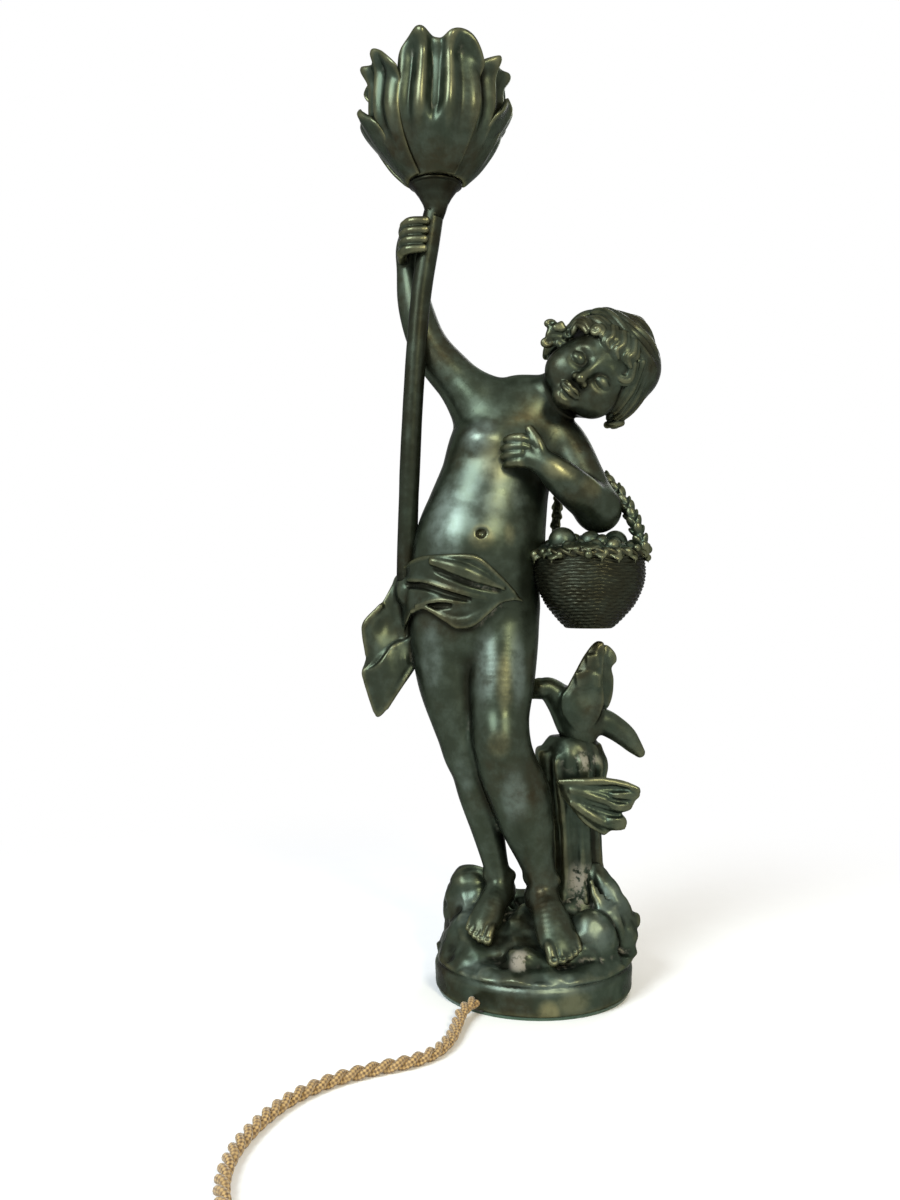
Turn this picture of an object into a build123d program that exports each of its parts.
from build123d import *
import math
import os

# A cast figural table lamp: a child with a basket stands on rockwork and holds a flower on a stem.
# Millimetres. The origin is the middle of the base's underside, +Z is up and the figure faces -Y.

# Base
FELT_THICKNESS = 1.5
FELT_INSET = 1.0
PLINTH_RADIUS = 52.5
PLINTH_HEIGHT = 14.0
PLINTH_BULGE = 0.8
PLINTH_WALL = 6.0
ROOF_THICKNESS = 2.0
PLATE_THICKNESS = 1.5
PLATE_CLEARANCE = 0.2
SCREW_RADIUS = 1.75
SCREW_HEAD_RADIUS = 3.2
SCREW_LENGTH = 7.0
BOSS_RADIUS = 4.5
BOSS_CIRCLE = 37.0
BOSS_WALL = 4.0
LEDGE_MARGIN = 2.0
LEDGE_STEP = 6.0
LEDGE_HEIGHT = 9.0
BACK_ROCK = dict(centre=(-25, 21), low_sizes=(24, 24), top_sizes=(14, 14), height=40, lean=(-0.2, -0.1), phase=0.8)
SPIKE_ROCK = dict(centre=(43, -10), low_sizes=(8, 9), top_sizes=(4, 4), height=20, lean=(0.5, -0.3), lobes=3,
                  phase=0.4)
ROCK_SINK = 2.0

# Fixings that hold the castings to the base
STUD_RADIUS = 2.0
PIPE_RADIUS = 4.0
PIPE_BORE = 2.7
PIPE_RISE = 30.0
WASHER_RADIUS = 6.5
WASHER_THICKNESS = 0.8
NUT_THICKNESS = 2.5
NUT_RADIUS = 4.6
PIPE_NUT_RADIUS = 6.4

# Stem, flower and lampholder
STEM_RADIUS = 5.5
STEM_BORE = 3.4
SPIGOT_RADIUS = 4.6
SPIGOT_LENGTH = 15.0
COLLAR_RADIUS = 13.5
COLLAR_RISE = 7.0
TRUMPET_HEIGHT = 15.0
FLOWER_HEIGHT = 68.0
FLOWER_WALL = 2.2
FLOWER_FLOOR = 3.0
# Share of the height, radius, and how deep the valleys between the petals are
FLOWER_STATIONS = [(0.0, 14.0, 0.0), (0.17, 26.0, 0.03), (0.42, 33.5, 0.06), (0.7, 33.5, 0.08), (1.0, 31.5, 0.11)]
PETALS = 5
NOTCH_RADIUS = 11.0
PETAL_THICKNESS = 2.0
PETAL_REACH = 43.0
PETAL_HEIGHT = 36.0
PETAL_HALF_ANGLE = 30.0
PETAL_AZIMUTHS = (182, 358, 60, 120)
# Share of the petal's height, of its reach and of its width
PETAL_STATIONS = [(0.08, 0.44, 0.55), (0.4, 0.74, 1.0), (0.72, 0.9, 0.82), (1.0, 1.0, 0.2)]
NIPPLE_RADIUS = 5.0
NIPPLE_BORE = 3.4
NIPPLE_DEPTH = 8.0
LOCK_NUT_RADIUS = 8.5
LOCK_NUT_THICKNESS = 4.0
HOLDER_RADIUS = 13.5
HOLDER_WALL = 1.2
HOLDER_CAP_HEIGHT = 12.0
HOLDER_BODY_HEIGHT = 27.0
SOCKET_RADIUS = 7.0
SHELL_WALL = 0.6
SHELL_RISE = 2.0
SOCKET_DEPTH = 20.0
HOLDER_GAP = 0.1
CONTACT_HEIGHT = 1.5
HOLDER_SCREW_RADIUS = 1.5
HOLDER_SCREW_LENGTH = 2.5

# Lead, cord, switch and plug
LEAD_RADIUS = 2.0
LEAD_CLEARANCE = 0.5
LEAD_END = 3.2
BLOCK_LENGTH = 14.0
BLOCK_WIDTH = 11.0
BLOCK_HEIGHT = 6.6
BLOCK_Y = -14.0
TERMINAL_SCREW_RADIUS = 1.3
CORD_RADIUS = 3.2
BUSH_WALL = 1.2
BUSH_FLANGE = 1.0
BUSH_LIFT = 0.1
BUSH_CLEARANCE = 0.2
COIL_RADIUS = 45.0
COIL_PITCH = 6.9
COIL_TURNS = 3
COIL_CENTRE = (16.0, -308.0)
TIE_THICKNESS = 0.7
TIE_WIDTH = 6.0
TIE_SLACK = 0.5
SWITCH_LENGTH = 58.0
SWITCH_WIDTH = 22.0
SWITCH_HEIGHT = 15.0
SWITCH_WALL = 2.0
SWITCH_END = 10.0
SWITCH_SCREW_RADIUS = 1.2
SWITCH_SCREW_HEAD = 2.2
SWITCH_HEAD_HEIGHT = 1.5
SWITCH_BLADE = (4.0, 5.0, 2.5)
SWITCH_CENTRE_X = -43.0
ROCKER_LENGTH = 18.0
ROCKER_WIDTH = 8.0
ROCKER_TILT = 8.0
ROCKER_GAP = 0.5
ROCKER_SWING = 1.2
ROCKER_STAND = 1.2
ROCKER_DISH = 1.6
ROCKER_KEEL = 3.4
ROCKER_DEPTH = 4.5
EAR_LENGTH = 7.0
EAR_WIDTH = 2.5
ROCKER_PIN_RADIUS = 1.0
PIN_CLEARANCE = 0.06
PLUG_LENGTH = 34.0
PLUG_WIDTH = 35.0
PLUG_THICKNESS = 14.0
SLEEVE_LENGTH = 22.0
PIN_RADIUS = 2.0
PIN_LENGTH = 19.0
PIN_SPACING = 19.0
PIN_ROOT = 8.0
PIN_ROOT_RADIUS = 2.6
LEAD_OUT = 34.0
FIRST_RUN = 10.0
LAST_RUN = 9.0

# Basket
BASKET_RIM_RADIUS = 30.0
BASKET_FOOT_RADIUS = 16.5
BASKET_HEIGHT = 40.0
BASKET_WALL = 2.5
WEAVE_BANDS = 9
WEAVE_BULGE = 0.7
RIM_RADIUS = 2.4
FRUIT_RISE = 8.0
FRUIT_SINK = 9.0
HANDLE_RADIUS = 3.2
GRAPE_RADIUS = 3.2
GRAPES = 7
GRAPE_START = 244.0
GRAPE_STEP = 21.0
GRAPE_STAGGER = 0.4
BIG_FRUIT = ((-15.5, -12, 7.5), (-1, -13, 6.0), (13, -6, 6.5))
FRUIT_GAP = 0.4

# Gap where one casting is let into another
CASTING_GAP = 0.25

# Fingers and toes
FINGER_RADIUS = 2.5
GRIP_HEIGHT = 379.5
FINGER_PITCH = 4.9
GRIP_DRIFT = 0.5
TOE_RADIUS = 3.4

GROUND = FELT_THICKNESS + PLINTH_HEIGHT
ROOF = GROUND - ROOF_THICKNESS
PLATE_TOP = FELT_THICKNESS + PLATE_THICKNESS
CAVITY_RADIUS = PLINTH_RADIUS - PLINTH_WALL

# Armature of the castings: x, y, height over the plinth, half width and half depth
TORSO = [
    (-34, 2, 170, 26, 18), (-33, 1.5, 184, 33, 23.5), (-32, 0, 200, 35, 26), (-29.5, -2, 222, 35.5, 28),
    (-26, -1.5, 238, 33, 26), (-21, 0, 258, 30, 23), (-15.5, 1, 278, 29.5, 21.5), (-8, 1.5, 292, 25, 17),
    (-2, 1, 300, 16, 12.5), (4, -1, 305, 9.5, 9.5),
]
RIGHT_LEG = [
    (-48.5, 3, 188, 19, 19), (-47.5, 2, 170, 19, 19), (-45.5, 1, 150, 17.2, 18), (-41, -1, 130, 14.5, 15.5),
    (-36.5, -2, 113, 12.2, 13.5), (-33, 0, 101, 11.2, 12.5), (-29.5, 3, 88, 11, 12), (-24.5, 4, 68, 8.8, 9.8),
    (-21, 3, 53, 7.2, 7.6), (-18.5, 2, 42, 6.4, 7), (-18, 2, 34, 6.2, 6.8),
]
LEFT_LEG = [
    (-16, 0, 190, 19.5, 19.5), (-17, -4, 172, 19.5, 19.5), (-18, -9, 152, 18.2, 18.5),
    (-18.7, -14, 134, 15.8, 16), (-18, -17, 120, 15, 15), (-14.5, -15, 106, 15.8, 15.5),
    (-8, -11, 90, 16.6, 16.5), (-3.8, -8, 74, 14.3, 14.5), (0.5, -8, 57, 10, 10.5), (4, -10, 44, 7.8, 8),
    (4.5, -10, 34, 7.4, 7.6),
]
RIGHT_FOOT = [(-15, 10, 36, 5, 5), (-17, 5, 35, 6.8, 6.6), (-21, -4, 32.5, 7.8, 7.6),
              (-26, -14, 25, 8.6, 5.4), (-29.5, -22, 19.5, 7.6, 3.6)]
LEFT_FOOT = [(2, -1, 35, 5.5, 5.5), (3, -6, 34, 7.4, 7.2), (6, -17, 31, 9, 8.4), (10, -30, 20.5, 10.4, 5.8),
             (12.5, -38.5, 14, 9.4, 3.8)]
RIGHT_ARM = [
    (-16, 2, 289, 13, 12.5), (-30, 2.5, 302.5, 13.2, 12.8), (-43, 3, 316.5, 12.2, 12),
    (-53, 3.5, 328, 11.2, 11), (-58.5, 4, 337.5, 10.4, 10.4), (-62.5, 4, 348.5, 9.8, 9.8),
    (-65.5, 4, 360.5, 8.8, 8.8), (-68, 3.5, 375.5, 6.6, 6.6), (-67.5, 1.5, 386, 7.4, 6),
    (-66, -0.5, 395, 6, 4.6),
]
LEFT_UPPER_ARM = [(4, 1, 290, 12, 12), (16, -2, 280, 12.6, 12.4), (26, -8, 260, 11.8, 11.8),
                  (33, -14, 244.5, 10.2, 10.2)]
LEFT_FOREARM = [(34, -14, 242, 9.6, 9.6), (23, -24, 250, 10.6, 10.4), (12, -29, 258.5, 9.2, 9),
                (5, -30.5, 264.3, 7.2, 6.8), (-2, -29.5, 269, 7.2, 5), (-5, -28.5, 271, 6.6, 4)]
LEFT_ELBOW = (33.4, -14, 243)
LEFT_ELBOW_RADIUS = 11.4
NECK = [(-2, 1, 298, 10.5, 10.5), (6, -2, 303, 10.5, 10.5), (17, -7, 310, 11, 11)]
STEM = [(-68.8, 0, 215), (-67.2, -4, 262), (-64.7, -7.5, 310), (-61, -10.5, 356), (-56, -12.8, 388),
        (-53, -14, 409)]
STUMP = [(25, 15, 30, 19, 18), (24.5, 15, 44, 15, 14.5), (24, 15, 68, 14, 14), (23, 15, 92, 16.5, 15.5),
         (22.5, 15, 104, 18, 17), (22.5, 15, 110, 17, 16)]
STUMP_ROOTS = [(38, 6, 32, 10, 45), (17, 5, 19.5, 8, 45)]
LEAF_RIM = [(10, 96), (24, 100.5), (40, 97), (57, 89.5), (50, 85), (54, 79), (46.5, 77), (49, 70.5),
            (37, 66.5), (26, 76), (14, 86)]
LEAF_AXIS = (27, 20)
LEAF_RADIUS = 26.5
LEAF_THICKNESS = 3.5
LEAF_RIB_RADIUS = 2.0
LEAF_PEG = (24, -5, 88)
PEG_RADIUS = 2.5
PEG_LENGTH = 11.0
BIRD_BODY = [(28, 12.5, 110, 6, 6), (28.5, 12, 120, 8.5, 8), (28.5, 12, 132, 9.5, 9), (25, 12, 143, 8.5, 8),
             (18, 12, 150, 6.2, 6), (11, 12, 151.5, 5.4, 5.2), (6, 11.5, 147, 4.6, 4.4), (3.6, 11, 139, 0.8, 0.8)]
BIRD_TAIL = [(30, 12, 133, 7, 6), (42, 12, 129, 7.5, 4.2), (53, 11, 121.5, 8, 3.6), (61, 10, 109.5, 4, 1.4)]
BIRD_NEAR_WING = [(-7, 0), (-9.5, 10), (-4, 24), (8, 39), (11, 28), (9, 14), (5, 0)]
BIRD_FAR_WING = [(-5, 0), (-4, 14), (3, 30), (13, 36), (15, 28), (13, 22), (14.5, 15), (11, 9), (9, 0)]
NEAR_WING_ROOT = (28.5, 6, 133)
FAR_WING_ROOT = (30, 17.5, 135)
NEAR_WING_LEAN = -6.0
FAR_WING_LEAN = 8.0
WING_THICKNESS = 3.6
DRAPE = [(-33, 2, 168, 38, 29), (-32.5, 2, 184, 39, 31), (-32, 1, 200, 39.5, 31.5),
         (-30.5, 0, 222, 39.5, 32)]
DRAPE_TAIL = [(-74, 2, 206, 7, 7), (-78, 2, 186, 9, 7), (-80.5, 2, 172, 12.5, 6.5), (-79.5, 2, 157, 14, 5.5),
              (-82.5, 2, 143, 8, 4.5), (-84.5, 2, 131, 2, 2)]
HEM_TOP = [(-90, 208), (-74, 213), (-51, 217.5), (-35, 217), (-18, 205), (-4, 193), (20, 190)]
HEM_LOW = [(20, 186), (0, 186.5), (-13, 190), (-23, 187), (-33, 181), (-40, 179), (-50, 183), (-58, 188),
           (-65, 186), (-72, 176), (-90, 174)]
FOLDS = [
    ((-70, -14, 209.5), (-47, -32, 201.5), (-24, -31, 195.5)),
    ((-66, -18, 190), (-56, -26.5, 193.5), (-44, -31.5, 194.5)),
    ((-69, -13, 213), (-42, -31.5, 217), (-9, -24, 198)),
]
FOLD_RADII = (3.2, 2.4, 2.8)

CHEST = ((-8, -3, 276), (-27, -3, 279))
CHEST_RADIUS = 17.0
NAVEL = (-29.2, -31.5, 229)
NAVEL_RADIUS = 2.6
BUTTOCKS = ((-47, 13, 183), (-19, 13, 183))
BUTTOCK_RADIUS = 18.5
# Planes where the castings are jointed, and the soles of the feet: a point and a square direction
WAIST = ((-37, 0, 196), (0.2, 0, 1))
THIGHS = ((-32, 0, 176), (0, 0, 1))
RIGHT_SHOULDER = ((-27, 2.3, 299.5), (-14, 0.5, 13.5))
LEFT_SHOULDER = ((13, -1.2, 282.5), (12, -4, -11))
NECK_SEAM = ((9, -3.2, 304.8), (11, -5, 7))
LEFT_SOLE = ((8, -18, 21.5), (0, -0.5, 1))
RIGHT_SOLE = ((-24, -8, 22.6), (0, -0.46, 1))
REACH = 400.0
# Forms of the head in its own frame: x to its left ear, -y out of the face, z to the crown, then half sizes
SKULL = (0, -5, -6, (22.5, 21.5, 23.5))
HAIR = (0, 4, 5.5, (29.5, 30, 30))
FACE_ROOM = (0, -32, -10, (26, 25, 29))
CHEEK = (10, -16.5, -9.5, (9.5, 9, 9.5))
EAR = (25.5, 1, -5, (3.2, 5.5, 8))
SIDE_LOCK = (23.5, 8, -17, (6.5, 7, 7.5))
CHIN = (0, -17.5, -24, (7.5, 7, 6))
NOSE = (0, -26, -5.5, (3.6, 4.5, 4.2))
HAIR_KNOT = (-20, -8, 23, (9, 7, 8))
CURL = (5.5, 5.5, 5)
CURLS = 6
CURL_SPAN = 150.0
HEAD_CENTRE = (33.5, -10, 318)
HEAD_UP = (0.71, -0.12, 0.69)
FACE_SIDE = (-0.15, -0.98, -0.1)
BASKET_CENTRE = (29, -13, 179.5)
HANDLE = [(56.5, -24.5, 219), (52.5, -18, 235), (47, -6.5, 250), (38.5, 4.5, 262), (27, 11.5, 267.5),
          (18.5, 13.5, 260), (14.5, 13.5, 246), (13.8, 13.2, 232), (14, 12.5, 219)]
CORD_RUN = [(-41.5, -62, 3.6), (-44.5, -80, 3.2), (-51, -96.5, 3.2), (-63, -107.5, 3.2),
            (-80, -115, 3.2), (-97, -126, 3.2), (-112, -143, 3.2), (-122, -166, 3.2), (-127.5, -191, 3.2),
            (-126, -216, 3.2), (-116.5, -241, 3.2), (-98.5, -258.5, 5.6)]
EXIT_ANGLE = 232.0
LEFT_STUD = (4.5, -10)
STUMP_STUD = (24.5, 15)
PIPE_PLACE = (-18.5, 2)


def above(place):
    """A point of the armature in the part's own frame."""
    return Vector(place[0], place[1], GROUND + place[2])


def outline(plane, half_width, half_depth, lobes=0, swell=0.0, phase=0.0, count=8):
    """A smooth closed curve round a plane's origin, oval or lobed."""
    points = []
    for step in range(count):
        angle = 2 * math.pi * step / count
        reach = 1 + swell * math.cos(lobes * angle + phase)
        points.append(plane.from_local_coords((half_width * reach * math.cos(angle),
                                               half_depth * reach * math.sin(angle), 0)))
    return Wire([Edge.make_spline(points, periodic=True)])


def square_planes(centres, side):
    """Planes square to a line of points, each with its x direction as near to the side as can be."""
    planes = []
    for index, centre in enumerate(centres):
        before = centres[max(index - 1, 0)]
        after = centres[min(index + 1, len(centres) - 1)]
        along = (after - before).normalized()
        across = side - along * side.dot(along)
        planes.append(Plane(origin=centre, x_dir=across, z_dir=along))
    return planes


def limb(stations, side=(1, 0, 0), lobes=0, swell=0.0, count=8, grow=0.0):
    """A body lofted through ovals at the stations of an armature, grown all round where it is a cutter."""
    planes = square_planes([above(station) for station in stations], Vector(*side))
    sections = []
    for plane, station in zip(planes, stations):
        sections.append(outline(plane, station[3] + grow, station[4] + grow, lobes, swell, count=count))
    return Solid.make_loft(sections)


def half_space(seam):
    """All that lies beyond a seam's plane, on the side that its direction points to."""
    place, direction = seam
    plane = Plane(origin=above(place), z_dir=direction)
    return plane * Box(REACH, REACH, REACH, align=(Align.CENTER, Align.CENTER, Align.MIN))


def finger(points, radius, side=(0, 0, 1)):
    """A finger through points of the armature, rounded at its tip."""
    centres = [above(point) for point in points]
    tip = centres[-1] + (centres[-1] - centres[-2]).normalized() * radius * 0.8
    planes = square_planes(centres + [tip], Vector(*side))
    radii = [radius * 1.1] * (len(centres) - 1) + [radius * 0.95, radius * 0.4]
    return Solid.make_loft([outline(plane, size, size, count=6) for plane, size in zip(planes, radii)])


def ball(centre, radius):
    return Pos(*centre) * Sphere(radius)


def egg(place, half_sizes):
    """An ellipsoid with its half sizes along the axes of a place."""
    return place * scale(Sphere(1), by=half_sizes)


def rod(place, radius, height):
    return Pos(*place) * Cylinder(radius, height, align=(Align.CENTER, Align.CENTER, Align.MIN))


def ring(place, radius, bore, height):
    return rod(place, radius, height) - rod(place, bore, height)


def hexagon_nut(place, radius, bore, height):
    body = extrude(RegularPolygon(radius, 6), amount=height)
    return Pos(*place) * body - rod(place, bore, height)


def turned(place, edges):
    """A solid turned about a vertical line, from edges whose points are radius, 0, height."""
    return Pos(*place) * revolve(make_face(edges), Axis.Z)


def line(start, end):
    return Edge.make_line(Vector(start[0], 0, start[1]), Vector(end[0], 0, end[1]))


def arc(start, middle, end):
    return Edge.make_three_point_arc(*(Vector(point[0], 0, point[1]) for point in (start, middle, end)))


def one_solid(shape):
    """The largest solid of a shape, without the slivers that a cut may leave."""
    return max(shape.solids(), key=lambda solid: solid.volume)


def bend_radii(points, share=0.45):
    """Corner radii for a path, each as large as the two runs beside it allow."""
    radii = []
    for before, corner, after in zip(points, points[1:], points[2:]):
        turn = (corner - before).get_angle(after - corner)
        shorter = min((corner - before).length, (after - corner).length)
        radii.append(share * shorter / math.tan(math.radians(turn) / 2))
    return radii


def bent_path(points):
    points = [Vector(*point) for point in points]
    return FilletPolyline(*points, radius=bend_radii(points))


def tube_along(path, radius):
    """A round bar swept along a wire or edge."""
    start = path @ 0
    direction = path % 0
    return sweep(Plane(origin=start, z_dir=direction) * Circle(radius), path=path)


# Rockwork

def boulder(centre, low_sizes, top_sizes, height, lean=(0, 0), lobes=5, swell=0.08, phase=0.0):
    """A rock that rises from the plinth to a flat lobed top, which may slope."""
    low = Plane(origin=(centre[0], centre[1], GROUND - ROCK_SINK))
    levels = [(low, low_sizes, swell * 0.5)]
    for share, pinch in ((0.55, 1.07), (1.0, 1.0)):
        slope = Vector(lean[0] * share, lean[1] * share, 1).normalized()
        across = Vector(1, 0, 0) - slope * slope.X
        plane = Plane(origin=above((centre[0], centre[1], height * share)), x_dir=across, z_dir=slope)
        sizes = [pinch * (a + (b - a) * share) for a, b in zip(low_sizes, top_sizes)]
        levels.append((plane, sizes, swell))
    sections = []
    for index, (plane, sizes, depth) in enumerate(levels):
        sections.append(outline(plane, sizes[0], sizes[1], lobes, depth, phase + 0.25 * index, 12))
    return Solid.make_loft(sections)


def rockwork():
    ledge = PLINTH_RADIUS - LEDGE_MARGIN
    upper_ledge = ledge - LEDGE_STEP
    rocks = boulder((0, 0), (ledge, ledge), (upper_ledge, upper_ledge), LEDGE_HEIGHT, lobes=7, swell=0.035)
    rocks += boulder(**BACK_ROCK)
    rocks += boulder((26, 14), (27, 27), (22, 21), STUMP[0][2], phase=2.1)
    ledges = ((LEFT_SOLE, (24, 25), (17, 24), 0.3), (RIGHT_SOLE, (21, 23), (14, 20), 1.2))
    for (place, slope), low_sizes, top_sizes, phase in ledges:
        rocks += boulder(place[:2], low_sizes, top_sizes, place[2], slope[:2], lobes=4, swell=0.05, phase=phase)
    rocks += boulder(**SPIKE_ROCK)
    return rocks


def plinth():
    low = FELT_THICKNESS
    edge = PLINTH_RADIUS - PLINTH_BULGE
    middle = (low + GROUND) / 2
    edges = [line((0, low), (edge, low)), arc((edge, low), (PLINTH_RADIUS, middle), (edge, GROUND)),
             line((edge, GROUND), (0, GROUND)), line((0, GROUND), (0, low))]
    return turned((0, 0, 0), edges)


def plate_screw_places():
    return [(BOSS_CIRCLE * math.cos(math.radians(angle)), BOSS_CIRCLE * math.sin(math.radians(angle)))
            for angle in (60, 180, 300)]


def exit_direction():
    angle = math.radians(EXIT_ANGLE)
    return Vector(math.cos(angle), math.sin(angle), 0)


def bush_plane():
    """The middle of the cord hole on the rim's outer face, looking out along the cord."""
    height = PLATE_TOP + CORD_RADIUS + BUSH_LIFT
    return Plane(origin=exit_direction() * PLINTH_RADIUS + Vector(0, 0, height), z_dir=exit_direction())


def bush_hole():
    """The notch in the rim that the bush fills: round on top, open below."""
    reach = CORD_RADIUS + BUSH_WALL
    plane = bush_plane().offset(-2 * PLINTH_WALL)
    hole = plane * extrude(Circle(reach), amount=3 * PLINTH_WALL)
    slot_middle = exit_direction() * (PLINTH_RADIUS - PLINTH_WALL / 2)
    slot = Pos(slot_middle.X, slot_middle.Y, FELT_THICKNESS) * Rot(0, 0, EXIT_ANGLE) * Box(
        3 * PLINTH_WALL, 2 * reach, bush_plane().origin.Z - FELT_THICKNESS,
        align=(Align.CENTER, Align.CENTER, Align.MIN))
    return hole + slot


def make_base_casting():
    casting = plinth() + rockwork()
    cavity = rod((0, 0, FELT_THICKNESS), CAVITY_RADIUS, ROOF - FELT_THICKNESS)
    for x, y in plate_screw_places():
        cavity -= rod((x, y, PLATE_TOP), BOSS_RADIUS, ROOF - PLATE_TOP)
    casting -= cavity
    casting -= bush_hole()
    for x, y in plate_screw_places():
        casting -= rod((x, y, 0), SCREW_RADIUS, FELT_THICKNESS + SCREW_LENGTH)
    for x, y in (LEFT_STUD, STUMP_STUD):
        casting -= rod((x, y, 0), STUD_RADIUS, above(STUMP[-1]).Z)
    casting -= rod((*PIPE_PLACE, 0), PIPE_RADIUS, GROUND + PIPE_RISE)
    casting -= foot_room(RIGHT_LEG, RIGHT_FOOT, RIGHT_SOLE, -1)
    casting -= foot_room(LEFT_LEG, LEFT_FOOT, LEFT_SOLE, 1)
    return one_solid(casting - stump_body(CASTING_GAP))


def foot_room(leg, foot, sole, towards):
    """The room that a foot needs over its sole, a little larger than the foot."""
    room = limb(leg[-4:], grow=CASTING_GAP) + foot_with_toes(foot, toe_sizes(), towards, CASTING_GAP)
    return room & half_space(sole)


def make_bottom_plate():
    plate = rod((0, 0, FELT_THICKNESS), CAVITY_RADIUS - PLATE_CLEARANCE, PLATE_THICKNESS)
    for x, y in plate_screw_places():
        plate -= plate_screw(x, y)
    return one_solid(plate - bush_hole())


def plate_screw(x, y):
    """A countersunk screw, flush with the plate's underside."""
    middle = FELT_THICKNESS + PLATE_THICKNESS / 2
    head = Pos(x, y, middle) * Cone(SCREW_HEAD_RADIUS, SCREW_RADIUS, PLATE_THICKNESS)
    return head + rod((x, y, FELT_THICKNESS), SCREW_RADIUS, SCREW_LENGTH)


def make_cord_bush():
    reach = CORD_RADIUS + BUSH_WALL
    plane = bush_plane()
    inner = plane.offset(-PLINTH_WALL - BUSH_FLANGE)
    body = bush_hole() & (inner * extrude(Circle(3 * reach), amount=PLINTH_WALL + BUSH_FLANGE))
    flange = inner.offset(-BUSH_FLANGE) * extrude(Circle(reach + BUSH_FLANGE), amount=BUSH_FLANGE)
    flange -= rod((0, 0, -PLATE_TOP), PLINTH_RADIUS, 2 * PLATE_TOP)
    body += flange
    body -= inner.offset(-2 * BUSH_FLANGE) * extrude(Circle(CORD_RADIUS + BUSH_CLEARANCE), amount=2 * PLINTH_WALL)
    return one_solid(body)


# Figure

def foot_with_toes(stations, sizes, towards, grow=0.0):
    """A bare foot: its lofted body, and a row of toes that starts with the big toe."""
    foot = limb(stations, grow=grow) + ball(above(stations[1]), stations[1][4] + grow)
    last = stations[-1]
    front = above(last)
    along = (front - above(stations[-2])).normalized()
    lateral = Vector(towards, 0, 0)
    lateral = (lateral - along * lateral.dot(along)).normalized()
    for index, size in enumerate(sizes):
        offset = last[3] * (-0.78 + 0.4 * index)
        advance = size * (0.6 - 0.22 * index)
        foot += ball(front + lateral * offset + along * advance, size + grow)
    return foot


def toe_sizes():
    return [TOE_RADIUS * (1.0 - 0.09 * index) for index in range(5)]


def torso_body(grow=0.0):
    """The trunk with its chest, as it is or grown as a cutter."""
    body = limb(TORSO, grow=grow)
    for place in CHEST:
        body += ball(above(place), CHEST_RADIUS + grow)
    return body


def make_torso(lead_channel, stem_room):
    """The trunk down to the waist seam, with the stubs of both arms and the neck."""
    torso = torso_body() & half_space(WAIST)
    torso += limb(RIGHT_ARM[:3]) - half_space(RIGHT_SHOULDER)
    torso += limb(LEFT_UPPER_ARM) - half_space(LEFT_SHOULDER)
    torso += limb(NECK) - half_space(NECK_SEAM)
    torso -= ball(above(NAVEL), NAVEL_RADIUS)
    foot = above(STEM[0]) - Vector(0, 0, SPIGOT_LENGTH + BOSS_WALL)
    torso -= rod(foot, SPIGOT_RADIUS + CASTING_GAP, SPIGOT_LENGTH + BOSS_WALL + STEM_RADIUS)
    return one_solid(torso - lead_channel - stem_room)


def make_legs(lead_channel):
    """Both legs from the thigh seam to flat soles, the right one let in behind the left."""
    below = half_space(THIGHS)
    left_body = limb(LEFT_LEG) - below
    left = (left_body + foot_with_toes(LEFT_FOOT, toe_sizes(), 1)) & half_space(LEFT_SOLE)
    right = limb(RIGHT_LEG) - below + foot_with_toes(RIGHT_FOOT, toe_sizes(), -1)
    right = (right & half_space(RIGHT_SOLE)) - limb(LEFT_LEG, grow=CASTING_GAP)
    right -= rod((*PIPE_PLACE, 0), PIPE_RADIUS, GROUND + PIPE_RISE)
    left -= rod((*LEFT_STUD, 0), STUD_RADIUS, above(LEFT_LEG[-2]).Z)
    return one_solid(right - lead_channel), one_solid(left)


def hem_profile():
    """The strip between the cloth's upper and lower hems, drawn from the front."""
    top = [Vector(x, 0, GROUND + z) for x, z in HEM_TOP]
    low = [Vector(x, 0, GROUND + z) for x, z in HEM_LOW]
    edges = [Edge.make_spline(top), Edge.make_line(top[-1], low[0]), Edge.make_spline(low),
             Edge.make_line(low[-1], top[0])]
    return make_face(edges)


def make_hips(lead_channel):
    """The hips with the cloth wound round them, its folds and its hanging end."""
    cloth = limb(DRAPE, count=10)
    cloth = cloth & extrude(hem_profile(), amount=2 * DRAPE[0][4], both=True)
    for fold, radius in zip(FOLDS, FOLD_RADII):
        start, middle, end = (above(point) for point in fold)
        cloth += tube_along(Edge.make_three_point_arc(start, middle, end), radius)
    foot = STEM[0]
    boss_radius = SPIGOT_RADIUS + BOSS_WALL
    cloth += rod(above((foot[0], foot[1], foot[2] - SPIGOT_LENGTH - BOSS_WALL)), boss_radius,
                 SPIGOT_LENGTH + BOSS_WALL)
    cloth -= torso_body(CASTING_GAP) & half_space(WAIST)
    core = limb(TORSO) + limb(RIGHT_LEG[:3]) + limb(LEFT_LEG[:3])
    for place in BUTTOCKS:
        core += ball(above(place), BUTTOCK_RADIUS)
    core = (core & half_space(THIGHS)) - half_space(WAIST)
    tail = limb(DRAPE_TAIL, lobes=3, swell=0.16, count=12) - limb(RIGHT_LEG, grow=CASTING_GAP)
    hips = cloth + core + one_solid(tail)
    hips -= rod(above((foot[0], foot[1], foot[2] - SPIGOT_LENGTH)), SPIGOT_RADIUS, SPIGOT_LENGTH)
    return one_solid(hips - lead_channel)


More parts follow.
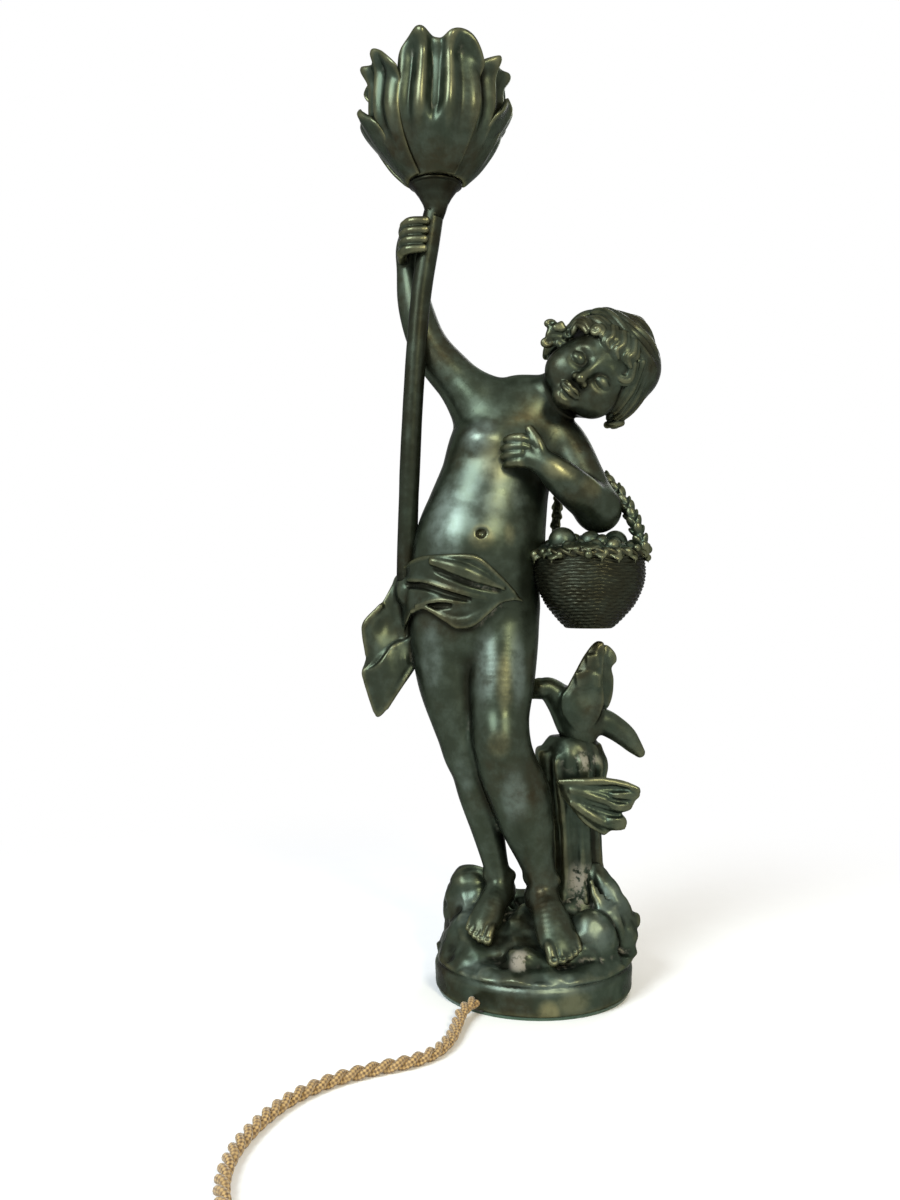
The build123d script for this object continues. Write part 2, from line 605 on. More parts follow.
def make_right_arm(stem_room):
    """The raised arm, with its fingers closed round the stem."""
    arm = (limb(RIGHT_ARM) & half_space(RIGHT_SHOULDER)) - torso_body(CASTING_GAP)
    for index in range(4):
        height = GRIP_HEIGHT + FINGER_PITCH * index
        drift = GRIP_DRIFT * index
        places = [(-66, 2, height - 1.5), (-70.5, -1 - drift, height - 1), (-70.8 + drift, -12.5, height),
                  (-67.5 + drift, -18.2, height + 0.4), (-59.5 + drift, -19.6, height + 0.6)]
        arm += finger(places, FINGER_RADIUS)
    arm += finger([(-64, 3, 384), (-59.5, 0, 390), (-56.5, -5, 398)], FINGER_RADIUS * 1.1, (1, 0, 0))
    return one_solid(arm - stem_room)


def make_left_arm():
    """The bent arm, with its hand spread on the chest."""
    arm = limb(LEFT_UPPER_ARM) & half_space(LEFT_SHOULDER)
    arm += limb(LEFT_FOREARM, side=(0, 0, 1)) + ball(above(LEFT_ELBOW), LEFT_ELBOW_RADIUS)
    for index in range(4):
        spread = index - 1.5
        places = [(-3.5, -29.2, 271 - 3.6 * spread), (-9.5, -27.6, 272.2 - 3.7 * spread),
                  (-14 + 0.9 * abs(spread), -24.6, 272.4 - 3.8 * spread)]
        arm += finger(places, FINGER_RADIUS)
    arm += finger([(3, -31, 268), (0, -30, 275), (-3.5, -27.5, 280)], FINGER_RADIUS, (1, 0, 0))
    return one_solid(arm - torso_body(CASTING_GAP))


def head_plane():
    face = Vector(*FACE_SIDE).normalized()
    up = Vector(*HEAD_UP)
    up = (up - face * up.dot(face)).normalized()
    return Plane(origin=above(HEAD_CENTRE), x_dir=up.cross(face), z_dir=up)


def make_head():
    """The head with its hair, features, ears and hair knot, on the upper half of the neck."""
    place = Location(head_plane())

    def form(x, y, z, half_sizes):
        return egg(place * Pos(x, y, z), half_sizes)

    head = form(*SKULL) + (form(*HAIR) - form(*FACE_ROOM))
    for x, y, z, half_sizes in (CHEEK, EAR, SIDE_LOCK):
        head += form(x, y, z, half_sizes) + form(-x, y, z, half_sizes)
    head += form(*CHIN) + form(*NOSE)
    for index in range(CURLS):
        angle = math.radians(CURL_SPAN * (index / (CURLS - 1) - 0.5))
        head += form(24 * math.sin(angle), -12.5 - 6 * math.cos(angle), 7 + 13 * math.cos(angle), CURL)
    head += form(*HAIR_KNOT)
    head -= limb(NECK, grow=CASTING_GAP) - half_space(NECK_SEAM)
    head -= limb(LEFT_UPPER_ARM, grow=CASTING_GAP)
    head = one_solid(head - torso_body(CASTING_GAP))
    return one_solid(head + (limb(NECK) & half_space(NECK_SEAM)))


# Basket

def basket_radius(share):
    """The outer radius of the basket at a share of its height."""
    return BASKET_FOOT_RADIUS + (BASKET_RIM_RADIUS - BASKET_FOOT_RADIUS) * share ** 0.85


def make_basket():
    """A tapered basket whose wall is a stack of woven rounds, hollowed where it leans on the hip."""
    foot_inside = BASKET_FOOT_RADIUS - BASKET_WALL
    rim_inside = BASKET_RIM_RADIUS - BASKET_WALL
    edges = [line((0, 0), (BASKET_FOOT_RADIUS, 0))]
    for band in range(WEAVE_BANDS):
        low = band / WEAVE_BANDS
        high = (band + 1) / WEAVE_BANDS
        start = (basket_radius(low), low * BASKET_HEIGHT)
        end = (basket_radius(high), high * BASKET_HEIGHT)
        middle = ((start[0] + end[0]) / 2 + WEAVE_BULGE, (start[1] + end[1]) / 2)
        edges.append(arc(start, middle, end))
    edges.append(line((BASKET_RIM_RADIUS, BASKET_HEIGHT), (rim_inside, BASKET_HEIGHT)))
    edges.append(line((rim_inside, BASKET_HEIGHT), (foot_inside, BASKET_WALL)))
    edges.append(line((foot_inside, BASKET_WALL), (0, BASKET_WALL)))
    edges.append(line((0, BASKET_WALL), (0, 0)))
    basket = turned(above(BASKET_CENTRE), edges)
    return one_solid(basket + basket_rim() - torso_body(CASTING_GAP))


def basket_rim():
    x, y, z = above(BASKET_CENTRE)
    return Pos(x, y, z + BASKET_HEIGHT) * Torus(BASKET_RIM_RADIUS - BASKET_WALL / 2, RIM_RADIUS)


def make_basket_handle():
    """The roped handle, which stands on the rim and passes behind the arm."""
    return one_solid(tube_along(bent_path([above(place) for place in HANDLE]), HANDLE_RADIUS) - basket_rim())


def make_basket_fruit():
    """The heap of fruit that fills the basket's mouth."""
    x, y, z = BASKET_CENTRE
    top = z + BASKET_HEIGHT
    rim_inside = BASKET_RIM_RADIUS - BASKET_WALL
    slope = (BASKET_RIM_RADIUS - BASKET_FOOT_RADIUS) / (BASKET_HEIGHT - BASKET_WALL)
    reach = BASKET_RIM_RADIUS - BASKET_WALL / 2 - RIM_RADIUS - FRUIT_GAP
    low_reach = rim_inside - FRUIT_SINK * slope - FRUIT_GAP
    edge = (reach - 1, RIM_RADIUS)
    rise = FRUIT_RISE - RIM_RADIUS
    cap_radius = (edge[0] ** 2 + rise ** 2) / (2 * rise)
    halfway = (edge[0] / 2, FRUIT_RISE - cap_radius + math.sqrt(cap_radius ** 2 - edge[0] ** 2 / 4))
    low = (low_reach, -FRUIT_SINK)
    waist = (reach, -RIM_RADIUS)
    edges = [line((0, -FRUIT_SINK), low), line(low, waist), line(waist, edge), arc(edge, halfway, (0, FRUIT_RISE)),
             line((0, FRUIT_RISE), (0, -FRUIT_SINK))]
    fruit = turned(above((x, y, top)), edges)
    for dx, dy, size in BIG_FRUIT:
        fruit += ball(above((x + dx, y + dy, top + size)), size)
    for index in range(GRAPES):
        angle = math.radians(GRAPE_START + GRAPE_STEP * index)
        away = reach - GRAPE_RADIUS
        height = top + GRAPE_RADIUS + GRAPE_STAGGER * (index % 3)
        fruit += ball(above((x + away * math.cos(angle), y + away * math.sin(angle), height)), GRAPE_RADIUS)
    return one_solid(fruit - torso_body(CASTING_GAP))


# Stump and bird

def stump_body(grow=0.0):
    """A broken trunk with two roots, flat where it stands."""
    stump = limb(STUMP, lobes=5, swell=0.06, count=15, grow=grow)
    floor = STUMP[0][2]
    for root in STUMP_ROOTS:
        root_line = [(root[0], root[1], floor - 4, 7, 6), (*root[2:], 5.5, 5.5), (24, 13, floor + 32, 4, 4)]
        stump += limb(root_line, grow=grow)
    return stump & half_space(((0, 0, floor), (0, 0, 1)))


def make_tree_stump():
    stump = stump_body() - rod((*STUMP_STUD, 0), STUD_RADIUS, above(STUMP[3]).Z)
    return one_solid(stump - leaf_peg())


def leaf_peg():
    """The peg that holds the leaf to the stump."""
    x, y, z = LEAF_PEG
    return Pos(*above((x, y, z))) * Rot(-90, 0, 0) * Cylinder(
        PEG_RADIUS, PEG_LENGTH, align=(Align.CENTER, Align.CENTER, Align.MIN))


def make_stump_leaf():
    """A lobed leaf that hugs the stump and stands out to one side, held by a peg."""
    points = [Vector(x, 0, GROUND + z) for x, z in LEAF_RIM]
    blade = extrude(make_face(Edge.make_spline(points, periodic=True)), amount=LEAF_RADIUS, both=True)
    x, y = LEAF_AXIS
    bottom = GROUND + LEAF_RIM[8][1] - LEAF_RADIUS
    wrap = ring((x, y, bottom), LEAF_RADIUS, LEAF_RADIUS - LEAF_THICKNESS, REACH)
    front = y - LEAF_RADIUS
    near_side = Pos(x, front, bottom) * Box(2 * LEAF_RADIUS, 2 * LEAF_RADIUS, REACH,
                                            align=(Align.MAX, Align.CENTER, Align.MIN))
    straight = Pos(x, front, bottom) * Box(2 * LEAF_RADIUS, LEAF_THICKNESS, REACH,
                                           align=(Align.MIN, Align.MIN, Align.MIN))
    blade = blade & ((wrap & near_side) + straight)
    rib_start = above((x - 9, front + LEAF_THICKNESS / 2, 93))
    rib_end = above((x + 25, front + LEAF_THICKNESS / 2, 87))
    blade += tube_along(Edge.make_line(rib_start, rib_end), LEAF_RIB_RADIUS)
    return one_solid(one_solid(blade - stump_body(CASTING_GAP)) + leaf_peg())


def make_bird():
    """A bird on the stump with its head to one side and its wings raised."""
    bird = limb(BIRD_BODY, side=(0, 1, 0)) + limb(BIRD_TAIL, side=(0, 1, 0))
    bird += wing(BIRD_NEAR_WING, Pos(*above(NEAR_WING_ROOT)) * Rot(NEAR_WING_LEAN, 0, 0))
    bird += wing(BIRD_FAR_WING, Pos(*above(FAR_WING_ROOT)) * Rot(FAR_WING_LEAN, 0, 0))
    return one_solid(bird & half_space(((0, 0, STUMP[-1][2]), (0, 0, 1))))


def wing(points, place):
    """A raised wing: a leaf outline with a scalloped trailing edge."""
    face = make_face(Edge.make_spline([Vector(x, 0, z) for x, z in points], periodic=True))
    return place * extrude(face, amount=WING_THICKNESS / 2, both=True)


# Stem, flower and lampholder

def stem_axis():
    return above(STEM[-1])


def collar_height():
    return stem_axis().Z + COLLAR_RISE


def trumpet():
    """The stem's flared top, on which the flower sits."""
    top = collar_height()
    low = top - TRUMPET_HEIGHT
    neck = STEM_RADIUS
    middle = (neck + 0.28 * (COLLAR_RADIUS - neck), low + 0.62 * TRUMPET_HEIGHT)
    edges = [line((0, low), (neck, low)), arc((neck, low), middle, (COLLAR_RADIUS, top)),
             line((COLLAR_RADIUS, top), (0, top)), line((0, top), (0, low))]
    return turned((stem_axis().X, stem_axis().Y, 0), edges)


def stem_path():
    """The stem's line, which ends straight up under the flower."""
    points = [above(place) for place in STEM]
    return bent_path(points + [points[-1] + Vector(0, 0, COLLAR_RISE)])


def make_stem():
    """The bent stem tube with its spigot and trumpet, bored for the lead and the nipple."""
    x, y, _ = stem_axis()
    top = collar_height()
    foot = above(STEM[0]) - Vector(0, 0, SPIGOT_LENGTH)
    path = stem_path()
    stem = tube_along(path, STEM_RADIUS) + trumpet() + rod(foot, SPIGOT_RADIUS, SPIGOT_LENGTH + STEM_RADIUS)
    stem -= tube_along(path, STEM_BORE)
    stem -= rod(foot, STEM_BORE, SPIGOT_LENGTH + STEM_RADIUS)
    return one_solid(stem - rod((x, y, top - NIPPLE_DEPTH), NIPPLE_RADIUS, NIPPLE_DEPTH))


def flower_shell(inset):
    """The flower's outer form, or its hollow when inset by the wall."""
    x, y, _ = stem_axis()
    bottom = collar_height() + (FLOWER_FLOOR if inset > 0 else 0)
    sections = []
    for share, radius, swell in FLOWER_STATIONS:
        height = collar_height() + share * FLOWER_HEIGHT
        plane = Plane(origin=(x, y, bottom if share == 0 else height))
        size = radius - inset
        sections.append(outline(plane, size, size, PETALS, swell, math.radians(-PETALS * 270), 4 * PETALS))
    return Solid.make_loft(sections)


def make_flower_cup():
    x, y, _ = stem_axis()
    bottom = collar_height()
    cup = flower_shell(0) - flower_shell(FLOWER_WALL)
    valley = 360 / PETALS
    for index in range(PETALS):
        turn = Rot(0, 0, 270 + valley * (index + 0.5))
        cup -= Pos(x, y, bottom + FLOWER_HEIGHT) * turn * Rot(0, 90, 0) * Cylinder(
            NOTCH_RADIUS, FLOWER_HEIGHT, align=(Align.CENTER, Align.CENTER, Align.MIN))
    return one_solid(cup - rod((x, y, bottom), NIPPLE_RADIUS, FLOWER_FLOOR))


def petal(azimuth):
    """A low outer petal, lofted through crescents that widen and then close to the tip."""
    x, y, _ = stem_axis()
    bottom = collar_height()
    middle = math.radians(azimuth)
    sections = []
    for rise, spread, width in PETAL_STATIONS:
        radius = PETAL_REACH * spread
        half = math.radians(PETAL_HALF_ANGLE * width)
        height = bottom + PETAL_HEIGHT * rise

        def at(size, turn):
            return Vector(x + size * math.cos(middle + turn), y + size * math.sin(middle + turn), height)

        inner = radius - PETAL_THICKNESS
        sections.append(Wire([
            Edge.make_three_point_arc(at(radius, -half), at(radius, 0), at(radius, half)),
            Edge.make_line(at(radius, half), at(inner, half)),
            Edge.make_three_point_arc(at(inner, half), at(inner, 0), at(inner, -half)),
            Edge.make_line(at(inner, -half), at(radius, -half)),
        ]))
    return Solid.make_loft(sections)


def make_outer_petals():
    petals = [petal(azimuth) for azimuth in PETAL_AZIMUTHS]
    room = flower_shell(-CASTING_GAP)
    return Compound(children=[one_solid(piece - room) for piece in petals])


def holder_levels():
    """Heights of the lampholder's pieces, from the lock nut up."""
    nut_low = collar_height() + FLOWER_FLOOR
    cap_low = nut_low + LOCK_NUT_THICKNESS
    body_low = cap_low + HOLDER_CAP_HEIGHT
    top = body_low + HOLDER_BODY_HEIGHT
    return nut_low, cap_low, body_low, top


def make_lampholder():
    x, y, _ = stem_axis()
    nut_low, cap_low, body_low, top = holder_levels()
    inside = HOLDER_RADIUS - HOLDER_WALL
    nipple_low = collar_height() - NIPPLE_DEPTH
    nipple = ring((x, y, nipple_low), NIPPLE_RADIUS, NIPPLE_BORE, cap_low + HOLDER_WALL * 2 - nipple_low)
    nut = hexagon_nut((x, y, nut_low), LOCK_NUT_RADIUS, NIPPLE_RADIUS, LOCK_NUT_THICKNESS)
    cap_floor = 2 * HOLDER_WALL
    shoulder = (0.86 * HOLDER_RADIUS, cap_low + 0.42 * HOLDER_CAP_HEIGHT)
    cap_edges = [line((0, cap_low), (LOCK_NUT_RADIUS, cap_low)),
                 arc((LOCK_NUT_RADIUS, cap_low), shoulder, (HOLDER_RADIUS, body_low)),
                 line((HOLDER_RADIUS, body_low), (0, body_low)), line((0, body_low), (0, cap_low))]
    cap = turned((x, y, 0), cap_edges)
    floor_edge = (LOCK_NUT_RADIUS - HOLDER_WALL, cap_low + cap_floor)
    hollow_edges = [line((0, cap_low + cap_floor), floor_edge), line(floor_edge, (inside, body_low)),
                    line((inside, body_low), (0, body_low)), line((0, body_low), (0, cap_low + cap_floor))]
    cap -= turned((x, y, 0), hollow_edges)
    cap -= rod((x, y, cap_low), NIPPLE_RADIUS, cap_floor)
    lip = SOCKET_RADIUS + SHELL_WALL
    body = ring((x, y, body_low), HOLDER_RADIUS, inside, HOLDER_BODY_HEIGHT)
    body += ring((x, y, top - 2 * HOLDER_WALL), HOLDER_RADIUS, lip + HOLDER_GAP, 2 * HOLDER_WALL)
    socket_low = top - SOCKET_DEPTH
    insert_low = body_low
    insert = rod((x, y, insert_low), inside - HOLDER_GAP, socket_low - insert_low)
    insert += ring((x, y, socket_low), inside - HOLDER_GAP, lip, SOCKET_DEPTH - 2 * HOLDER_WALL)
    shell = ring((x, y, socket_low + SHELL_RISE), lip, SOCKET_RADIUS, SOCKET_DEPTH - SHELL_RISE)
    contact = rod((x, y, socket_low), SOCKET_RADIUS * 0.5, CONTACT_HEIGHT)
    screws = []
    for side in (-1, 1):
        place = (x + side * SOCKET_RADIUS, y, insert_low - HOLDER_SCREW_LENGTH)
        screws.append(rod(place, HOLDER_SCREW_RADIUS, HOLDER_SCREW_LENGTH))
    return nipple, nut, cap, body, insert, shell, contact, Compound(children=screws)


# Lead and cord

def lead_points():
    """The lead's line from the terminal block, up the right leg and the stem to the lampholder."""
    x, y = PIPE_PLACE
    low = block_place().Z
    axis = stem_axis()
    foot = STEM[0]
    points = [Vector(x, block_place().Y + BLOCK_LENGTH / 2, low), Vector(x, y, low)]
    points += [above(place) for place in ((x, y, 40), (-45, 2.5, 166), (-61, 1.4, 177), (*foot[:2], 189))]
    points += [above(place) for place in STEM]
    return points + [Vector(axis.X, axis.Y, holder_levels()[2] - LEAD_END)]


def block_place():
    """The middle of the terminal block, which stands on the bottom plate."""
    return Vector(PIPE_PLACE[0], BLOCK_Y, PLATE_TOP + BLOCK_HEIGHT / 2)


def make_terminal_block():
    middle = block_place()
    block = Pos(*middle) * Box(BLOCK_WIDTH, BLOCK_LENGTH, BLOCK_HEIGHT)
    screws = []
    for side in (-1, 1):
        place = (middle.X + side * BLOCK_WIDTH / 4, middle.Y, middle.Z)
        screws.append(rod(place, TERMINAL_SCREW_RADIUS, BLOCK_HEIGHT / 2))
        block -= rod(place, TERMINAL_SCREW_RADIUS, BLOCK_HEIGHT)
    return block, Compound(children=screws)


def make_cord_entry():
    """The cord's end inside the base, from the rim to the terminal block."""
    out = bush_plane()
    middle = block_place()
    front = middle.Y - BLOCK_LENGTH / 2
    inside = out.origin - exit_direction() * (PLINTH_WALL + 4)
    points = [out.origin, inside, Vector(middle.X - 1, front - 8, middle.Z),
              Vector(middle.X, front - 3, middle.Z), Vector(middle.X, front, middle.Z)]
    return tube_along(bent_path(points), CORD_RADIUS)


def switch_axis():
    """The cord's height and depth line through the in-line switch."""
    return COIL_CENTRE[1] + COIL_RADIUS, SWITCH_HEIGHT / 2


def make_cord_run():
    y, z = switch_axis()
    end = SWITCH_CENTRE_X - SWITCH_LENGTH / 2
    start = bush_plane().origin
    points = [start, start + exit_direction() * FIRST_RUN, *CORD_RUN, (end - LAST_RUN, y, z), (end, y, z)]
    points = [Vector(*point) for point in points]
    path = bent_path(points)
    run = tube_along(path, CORD_RADIUS)
    print("cord run length", round(path.length, 1), "radii", [round(radius) for radius in bend_radii(points)])
    print("cord run volume over section times length",
          round(run.volume / (math.pi * CORD_RADIUS ** 2 * path.length), 4))
    return run


def coil_levels():
    low = TIE_THICKNESS + TIE_SLACK / 4 + CORD_RADIUS
    return low, low + COIL_PITCH


def coil_point(turn):
    """A point of the coil: it spirals in, climbs a layer in half a turn and spirals out."""
    low, high = coil_levels()
    inner = COIL_RADIUS - COIL_PITCH * COIL_TURNS
    if turn <= COIL_TURNS:
        radius = COIL_RADIUS - COIL_PITCH * turn
        height = low
    elif turn <= COIL_TURNS + 0.5:
        share = 2 * (turn - COIL_TURNS)
        radius = inner - COIL_PITCH / (2 * math.pi) * math.sin(math.pi * share)
        height = low + (high - low) * (0.5 - 0.5 * math.cos(math.pi * share))
    else:
        radius = inner + COIL_PITCH * (turn - COIL_TURNS - 0.5)
        height = high
    angle = math.pi / 2 - 2 * math.pi * turn
    return Vector(COIL_CENTRE[0] + radius * math.cos(angle), COIL_CENTRE[1] + radius * math.sin(angle), height)


def coil_end():
    return 2 * COIL_TURNS + 0.5


def coil_direction(turn):
    step = 0.0005
    return (coil_point(min(turn + step, coil_end())) - coil_point(max(turn - step, 0))).normalized()


def biarc(start, start_along, end, end_along):
    """Two tangent arcs from one point and direction to another."""
    span = end - start
    both = start_along + end_along
    a = 2 * (start_along.dot(end_along) - 1)
    b = -2 * span.dot(both)
    c = span.dot(span)
    if abs(a) < 1e-9:
        reach = -c / b
    else:
        reach = (-b - math.sqrt(b * b - 4 * a * c)) / (2 * a)
    middle = (start + start_along * reach + end - end_along * reach) * 0.5
    first = Edge.make_tangent_arc(start, start_along, middle)
    second = Edge.make_tangent_arc(middle, first % 1, end)
    return [first, second]


def plug_axis():
    """The cord's line into the plug: its depth and height."""
    return COIL_CENTRE[1] - COIL_RADIUS - 1.5, PLUG_THICKNESS / 2


def make_cord_coil():
    y, z = switch_axis()
    start = Vector(SWITCH_CENTRE_X + SWITCH_LENGTH / 2, y, z)
    straight = Vector(2 * CORD_RADIUS, 0, 0)
    plug_y, plug_z = plug_axis()
    finish = Vector(COIL_CENTRE[0] - LEAD_OUT, plug_y, plug_z)
    edges = [Edge.make_line(start, start + straight)]
    edges += biarc(start + straight, Vector(1, 0, 0), coil_point(0), coil_direction(0))
    quarters = int(4 * coil_end())
    for quarter in range(quarters):
        here = quarter / 4
        there = (quarter + 1) / 4
        edges += biarc(coil_point(here), coil_direction(here), coil_point(there), coil_direction(there))
    edges += biarc(coil_point(coil_end()), coil_direction(coil_end()), finish + straight, Vector(-1, 0, 0))
    edges.append(Edge.make_line(finish + straight, finish))
    path = Wire(edges)
    coil = tube_along(path, CORD_RADIUS)
    samples = [coil_point(coil_end() * step / 480) for step in range(481)]
    apart = int(480 / coil_end() * 0.4)
    gap = min((one - two).length for index, one in enumerate(samples) for two in samples[index + apart:])
    print("coil length", round(path.length, 1), "least gap", round(gap - 2 * CORD_RADIUS, 2))
    print("coil volume over section times length",
          round(coil.volume / (math.pi * CORD_RADIUS ** 2 * path.length), 4))
    return coil


def make_cord_tie():
    """A band round the coil's turns, on the side away from its ends."""
    low, high = coil_levels()
    inner = COIL_RADIUS - COIL_PITCH * COIL_TURNS - COIL_PITCH / (2 * math.pi) - CORD_RADIUS - TIE_SLACK
    outer = COIL_RADIUS + CORD_RADIUS + TIE_SLACK
    bottom = TIE_THICKNESS
    top = high + CORD_RADIUS + TIE_SLACK
    middle = (COIL_CENTRE[0] + (inner + outer) / 2, (bottom + top) / 2)
    width = outer - inner
    height = top - bottom
    start = (middle[0], COIL_CENTRE[1] + TIE_WIDTH / 2, middle[1])
    plane = Plane(origin=start, x_dir=(1, 0, 0), z_dir=(0, -1, 0))
    band = RectangleRounded(width + 2 * TIE_THICKNESS, height + 2 * TIE_THICKNESS, CORD_RADIUS)
    band -= RectangleRounded(width, height, CORD_RADIUS - TIE_THICKNESS)
    return extrude(plane * band, amount=TIE_WIDTH)


# In-line switch

def switch_block(length, width, low, high, radius):
    y, _ = switch_axis()
    plan = Pos(SWITCH_CENTRE_X, y, low) * RectangleRounded(length, width, radius)
    return extrude(plan, amount=high - low)


def rocker_shape():
    """The rocker level in its slot: a bar with a crowned top and a keel."""
    y, _ = switch_axis()
    pivot = rocker_pivot()
    half = ROCKER_LENGTH / 2
    top = SWITCH_HEIGHT + ROCKER_STAND - pivot
    crown = Edge.make_three_point_arc(Vector(half, 0, top), Vector(0, 0, top - ROCKER_DISH), Vector(-half, 0, top))
    keel = Edge.make_three_point_arc(Vector(-half, 0, 0), Vector(0, 0, -ROCKER_KEEL), Vector(half, 0, 0))
    edges = [crown, Edge.make_line(Vector(-half, 0, top), Vector(-half, 0, 0)), keel,
             Edge.make_line(Vector(half, 0, 0), Vector(half, 0, top))]
    bar = extrude(make_face(edges), amount=ROCKER_WIDTH / 2, both=True)
    return Pos(SWITCH_CENTRE_X, y, pivot) * Rot(0, -ROCKER_TILT, 0) * bar


def rocker_pivot():
    return SWITCH_HEIGHT - ROCKER_DEPTH


def make_switch():
    y, middle = switch_axis()
    x = SWITCH_CENTRE_X
    corner = SWITCH_WIDTH * 0.42
    lower = switch_block(SWITCH_LENGTH, SWITCH_WIDTH, 0, middle, corner)
    hollow = (SWITCH_LENGTH - 2 * SWITCH_END, SWITCH_WIDTH - 2 * SWITCH_WALL)
    lower -= switch_block(*hollow, SWITCH_WALL, middle, corner - SWITCH_WALL)
    upper = switch_block(SWITCH_LENGTH, SWITCH_WIDTH, middle, SWITCH_HEIGHT, corner)
    upper = fillet(upper.faces().sort_by(Axis.Z)[-1].edges(), SWITCH_WALL)
    upper -= switch_block(*hollow, middle, SWITCH_HEIGHT - SWITCH_WALL, corner - SWITCH_WALL)
    pivot = rocker_pivot()
    window = ROCKER_LENGTH + 2 * (ROCKER_GAP + ROCKER_SWING)
    upper -= Pos(x, y, SWITCH_HEIGHT) * Box(window, ROCKER_WIDTH + 2 * ROCKER_GAP, 4 * SWITCH_WALL)
    ear_inside = ROCKER_WIDTH / 2 + ROCKER_GAP
    for side in (-1, 1):
        ear_middle = (x, y + side * (ear_inside + EAR_WIDTH / 2), (pivot + SWITCH_HEIGHT) / 2 - 1)
        upper += Pos(*ear_middle) * Box(EAR_LENGTH, EAR_WIDTH, SWITCH_HEIGHT - pivot + 1)
    pin_half = ear_inside + EAR_WIDTH
    pin = Pos(x, y, pivot) * Rot(90, 0, 0) * Cylinder(ROCKER_PIN_RADIUS, 2 * pin_half)
    upper -= pin
    pin_hole = Pos(x, y, pivot) * Rot(90, 0, 0) * Cylinder(ROCKER_PIN_RADIUS + PIN_CLEARANCE, 2 * pin_half)
    rocker = rocker_shape() - pin_hole
    screws = []
    for side in (-1, 1):
        place = (x + side * (SWITCH_LENGTH / 2 - 6), y + side * 5.5, 0)
        screw = rod(place, SWITCH_SCREW_HEAD, SWITCH_HEAD_HEIGHT)
        screw += rod(place, SWITCH_SCREW_RADIUS, SWITCH_HEIGHT * 0.75)
        lower -= screw
        upper -= screw
        screws.append(screw)
    contacts = []
    for side in (-1, 1):
        blade = Pos(x + side * (ROCKER_LENGTH / 2 + 1.5), y, SWITCH_WALL) * Box(
            *SWITCH_BLADE, align=(Align.CENTER, Align.CENTER, Align.MIN))
        contacts.append(blade)
    return (one_solid(upper), one_solid(lower), one_solid(rocker), pin, Compound(children=screws),
            Compound(children=contacts))


# Plug

def make_plug():
    y, z = plug_axis()
    sleeve_start = COIL_CENTRE[0] - LEAD_OUT
    body_start = sleeve_start - SLEEVE_LENGTH
    half = PLUG_WIDTH / 2
    neck = half * 0.42
    plan = Polyline((0, neck), (-0.35 * PLUG_LENGTH, half), (-PLUG_LENGTH, half), (-PLUG_LENGTH, -half),
                    (-0.35 * PLUG_LENGTH, -half), (0, -neck), close=True)
    body = extrude(make_face(plan), amount=PLUG_THICKNESS / 2, both=True)
    body = fillet(body.edges().filter_by(Axis.Z), 3.0)
    body = chamfer(body.faces().sort_by(Axis.Z)[-1].edges() + body.faces().sort_by(Axis.Z)[0].edges(), 1.5)
    body = Pos(body_start, y, z) * body
    sleeve = Pos(sleeve_start - SLEEVE_LENGTH / 2, y, z) * Rot(0, -90, 0) * Cone(
        CORD_RADIUS + 0.8, CORD_RADIUS + 2.6, SLEEVE_LENGTH)
    face = body_start - PLUG_LENGTH
    pins = []
    for side in (-1, 1):
        pin_y = y + side * PIN_SPACING / 2
        pin = Pos(face - PIN_LENGTH / 2, pin_y, z) * Rot(0, 90, 0) * Cylinder(PIN_RADIUS, PIN_LENGTH)
        pin += Pos(face + PIN_ROOT / 2, pin_y, z) * Rot(0, 90, 0) * Cylinder(PIN_ROOT_RADIUS, PIN_ROOT)
        body -= pin
        pins.append(pin)
    return one_solid(body), sleeve, Compound(children=pins)


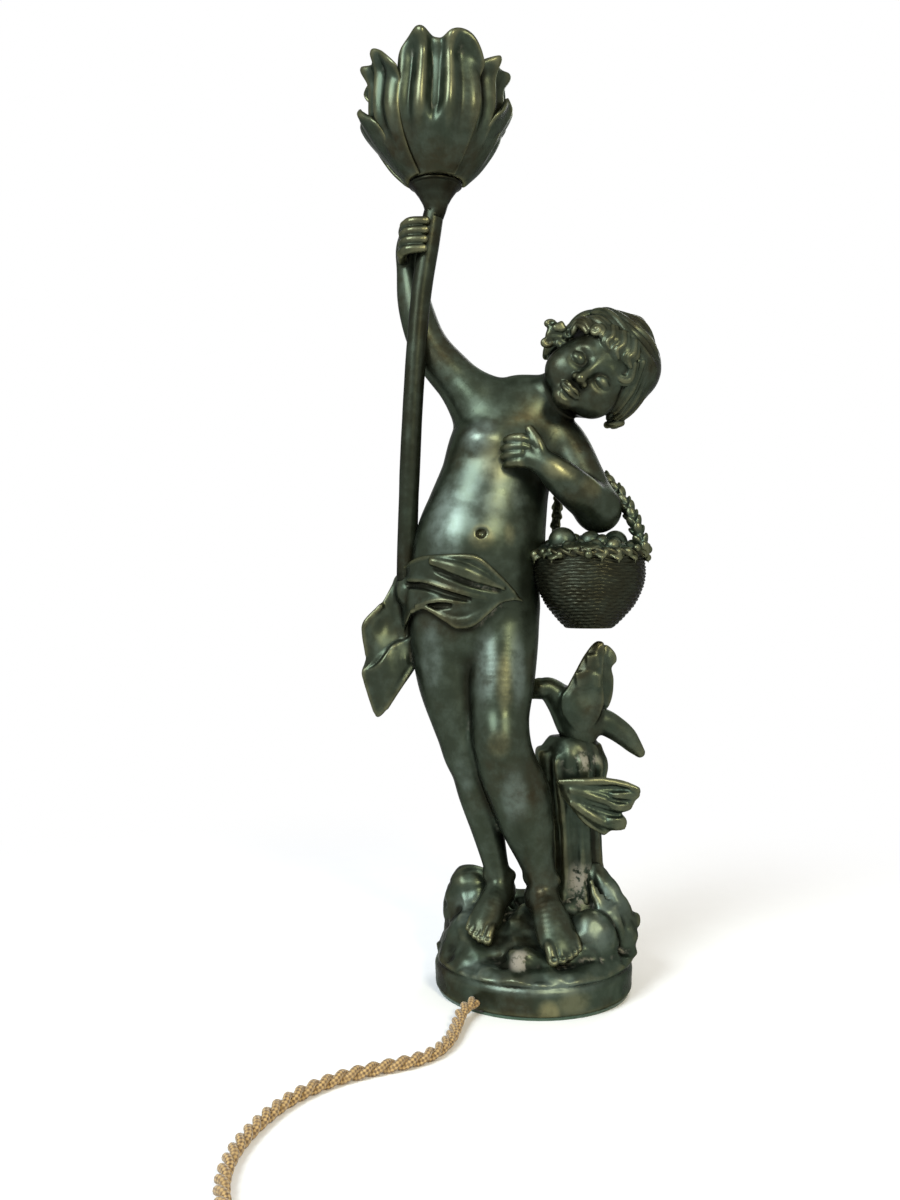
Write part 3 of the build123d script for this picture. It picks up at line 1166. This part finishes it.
def build():
    lead_path = bent_path(lead_points())
    channel = tube_along(lead_path, LEAD_RADIUS + LEAD_CLEARANCE)
    stem_room = tube_along(stem_path(), STEM_RADIUS + CASTING_GAP)
    parts = {}
    parts["stem"] = make_stem()
    parts["torso"] = make_torso(channel, stem_room)
    parts["right_leg"], parts["left_leg"] = make_legs(channel)
    parts["hips"] = make_hips(channel)
    parts["right_arm"] = make_right_arm(stem_room)
    parts["left_arm"] = make_left_arm()
    parts["head"] = make_head()
    parts["base_casting"] = make_base_casting()
    parts["basket"] = make_basket()
    parts["basket_handle"] = make_basket_handle()
    parts["basket_fruit"] = make_basket_fruit()
    parts["tree_stump"] = make_tree_stump()
    parts["stump_leaf"] = make_stump_leaf()
    parts["bird"] = make_bird()
    parts["flower_cup"] = make_flower_cup()
    parts["outer_petals"] = make_outer_petals()
    names = ("threaded_nipple", "lock_nut", "holder_cap", "holder_body", "holder_insert", "screw_shell",
             "centre_contact", "holder_screws")
    parts.update(zip(names, make_lampholder()))
    parts["inner_lead"] = tube_along(lead_path, LEAD_RADIUS)
    parts["felt_pad"] = rod((0, 0, 0), PLINTH_RADIUS - FELT_INSET, FELT_THICKNESS)
    parts["bottom_plate"] = make_bottom_plate()
    parts["plate_screws"] = Compound(children=[plate_screw(x, y) for x, y in plate_screw_places()])
    parts["cord_bush"] = make_cord_bush()
    parts["terminal_block"], parts["terminal_screws"] = make_terminal_block()
    parts["cord_entry"] = make_cord_entry()
    parts["cord_run"] = make_cord_run()
    parts["cord_coil"] = make_cord_coil()
    parts["cord_tie"] = make_cord_tie()
    names = ("switch_upper", "switch_lower", "switch_rocker", "rocker_pin", "switch_screws", "switch_contacts")
    parts.update(zip(names, make_switch()))
    parts["plug_body"], parts["plug_sleeve"], parts["plug_pins"] = make_plug()
    parts.update(make_fixings())
    return parts


def make_fixings():
    """Studs and the hollow pipe, each drawn up under the base's roof by a washer and a nut."""
    washer_low = ROOF - WASHER_THICKNESS
    nut_low = washer_low - NUT_THICKNESS
    tops = {LEFT_STUD: above(LEFT_LEG[-2]).Z, STUMP_STUD: above(STUMP[3]).Z}
    studs = [rod((*place, nut_low - 1), STUD_RADIUS, top - nut_low + 1) for place, top in tops.items()]
    washers = [ring((*place, washer_low), WASHER_RADIUS, STUD_RADIUS, WASHER_THICKNESS) for place in tops]
    nuts = [hexagon_nut((*place, nut_low), NUT_RADIUS, STUD_RADIUS, NUT_THICKNESS) for place in tops]
    pipe_top = GROUND + PIPE_RISE
    pipe = ring((*PIPE_PLACE, nut_low), PIPE_RADIUS, PIPE_BORE, pipe_top - nut_low)
    washers.append(ring((*PIPE_PLACE, washer_low), WASHER_RADIUS + 1, PIPE_RADIUS, WASHER_THICKNESS))
    nuts.append(hexagon_nut((*PIPE_PLACE, nut_low), PIPE_NUT_RADIUS, PIPE_RADIUS, NUT_THICKNESS))
    return {"fixing_studs": Compound(children=studs), "fixing_pipe": pipe,
            "fixing_washers": Compound(children=washers), "fixing_nuts": Compound(children=nuts)}


os.makedirs("parts", exist_ok=True)
for name, shape in build().items():
    export_step(shape, f"parts/{name}.step")
